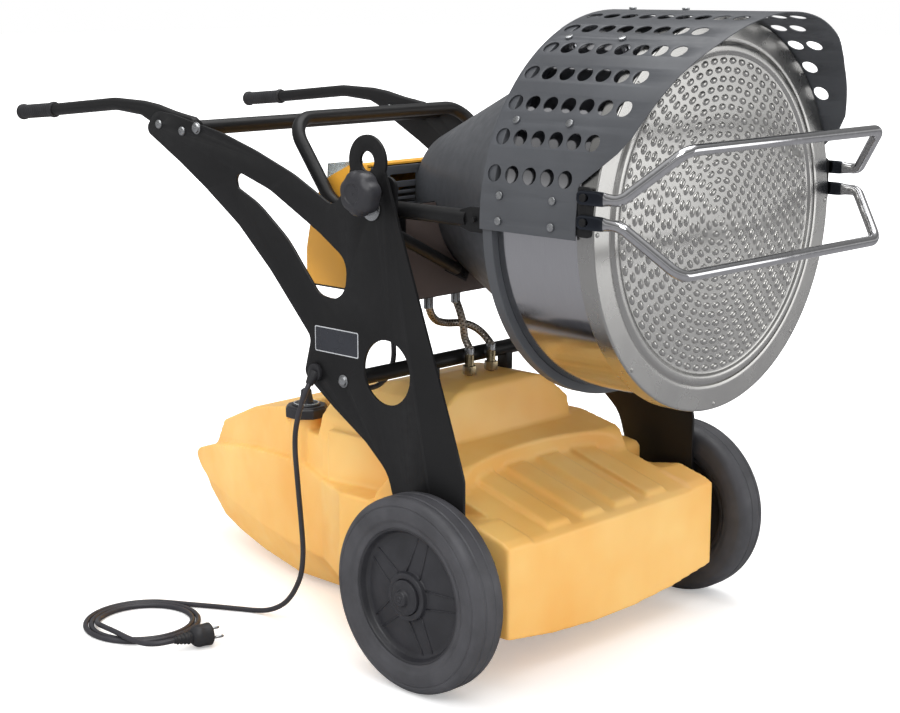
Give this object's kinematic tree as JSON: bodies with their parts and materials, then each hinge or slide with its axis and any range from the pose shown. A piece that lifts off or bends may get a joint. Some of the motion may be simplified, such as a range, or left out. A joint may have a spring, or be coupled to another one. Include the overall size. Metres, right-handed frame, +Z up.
{
  "type": "infrared heater",
  "caption": "Oil-fired infrared heater: round dimpled emitter drum under a perforated hood, tilting between the side plates of a wheeled cart that carries a fuel tank.",
  "frame": {"origin": "on the floor under the middle of the heater's box, the mains lead left out", "axes": "X across the cart, +Y from the emitter to the handles, +Z up from the floor"},
  "size_m": [0.9119, 1.4951, 1.0002],
  "materials": {
    "black_paint": "satin black powder coat",
    "grey_paint": "satin dark grey powder coat",
    "tan_sheet": "warm brown reflective sheet",
    "stainless": "stamped stainless sheet",
    "mirror_steel": "mirror-polished stainless band",
    "chrome": "chrome-plated bar",
    "zinc": "zinc-plated steel",
    "rubber": "moulded black rubber",
    "tyre_rubber": "solid grey-black tyre",
    "black_plastic": "moulded black plastic",
    "tank_plastic": "rotomoulded yellow-orange plastic",
    "cover_paint": "satin yellow paint",
    "clear_plastic": "milky clear plastic",
    "brass": "turned brass",
    "braid": "steel-braided hose",
    "cast": "die-cast aluminium",
    "cable": "black mains cable"
  },
  "bodies": {
    "cart": {"side_plate_left": "black_paint", "side_plate_right": "black_paint", "rear_cross_tube": "black_paint", "lower_cross_tube": "black_paint", "handle_arm_left": "black_paint", "handle_arm_right": "black_paint", "grip_left": "rubber", "grip_right": "rubber", "frame_bolts": "zinc", "axle": "zinc", "tank": "tank_plastic", "tank_saddles": "black_paint", "filler_neck": "black_plastic", "fuel_pipes": "brass", "pivot_bolts": "zinc", "knob_nut": "zinc", "cable_gland": "rubber", "fuel_hoses": "braid", "inner_cable": "cable", "cord": "cable", "cord_coil": "cable", "plug": "cable"},
    "head": {"pivot_brackets": "black_paint", "rear_shell": "grey_paint", "lower_shroud": "tan_sheet", "rear_ring": "grey_paint", "drum_band": "mirror_steel", "front_ring": "stainless", "emitter_disc": "stainless", "combustion_chamber": "stainless", "hood": "grey_paint", "hood_bolts": "zinc", "guard_handle_upper": "chrome", "guard_handle_lower": "chrome", "guard_brackets": "black_paint", "strut_tubes": "black_paint", "tilt_hoop": "black_paint", "burner_cradle": "black_paint", "burner_cover": "cover_paint", "louvre_panel": "grey_paint", "socket_cover": "clear_plastic", "blast_tube": "zinc", "fuel_nozzle": "brass", "fan_housing": "cast", "motor": "cast", "fuel_pump": "cast", "ignition_transformer": "black_plastic", "control_box": "black_plastic"},
    "wheel_left": {"tyre_left": "tyre_rubber", "rim_left": "black_plastic", "hub_cap_left": "black_plastic"},
    "wheel_right": {"tyre_right": "tyre_rubber", "rim_right": "black_plastic", "hub_cap_right": "black_plastic"},
    "cap": {"filler_cap": "black_plastic", "cap_gauge": "clear_plastic"},
    "knob": {"tilt_knob": "black_plastic"},
    "fan": {"fan_wheel": "zinc"},
    "main_switch": {"switch_rocker": "black_plastic"},
    "reset": {"reset_button": "black_plastic"}
  },
  "joints": [
    {"name": "tilt", "type": "hinge", "parent": "cart", "child": "head", "pos_m": [0, -0.198, 0.707], "axis": [1, 0, 0], "range_deg": [-25, 10], "deforming": ["fuel_hoses", "inner_cable"]},
    {"name": "wheel_left_spin", "type": "hinge", "parent": "cart", "child": "wheel_left", "pos_m": [-0.324, -0.336, 0.15], "axis": [-1, 0, 0], "continuous": true},
    {"name": "wheel_right_spin", "type": "hinge", "parent": "cart", "child": "wheel_right", "pos_m": [0.324, -0.336, 0.15], "axis": [1, 0, 0], "continuous": true},
    {"name": "knob_turn", "type": "hinge", "parent": "cart", "child": "knob", "pos_m": [-0.3, -0.212, 0.733], "axis": [-1, 0, 0], "continuous": true},
    {"name": "cap_turn", "type": "hinge", "parent": "cart", "child": "cap", "pos_m": [-0.166, 0.088, 0.33], "axis": [0, 0, 1], "range_deg": [0, 360]},
    {"name": "fan_spin", "type": "hinge", "parent": "head", "child": "fan", "pos_m": [0, -0.028, 0.65], "axis": [1, 0, 0], "continuous": true},
    {"name": "switch_rock", "type": "hinge", "parent": "head", "child": "main_switch", "pos_m": [-0.06, 0.052, 0.586], "axis": [1, 0, 0], "range_deg": [-8, 8]},
    {"name": "reset_press", "type": "slide", "parent": "head", "child": "reset", "axis": [0, -1, 0], "range_m": [0, 0.003], "stiffness_N_per_m": 400}
  ]
}
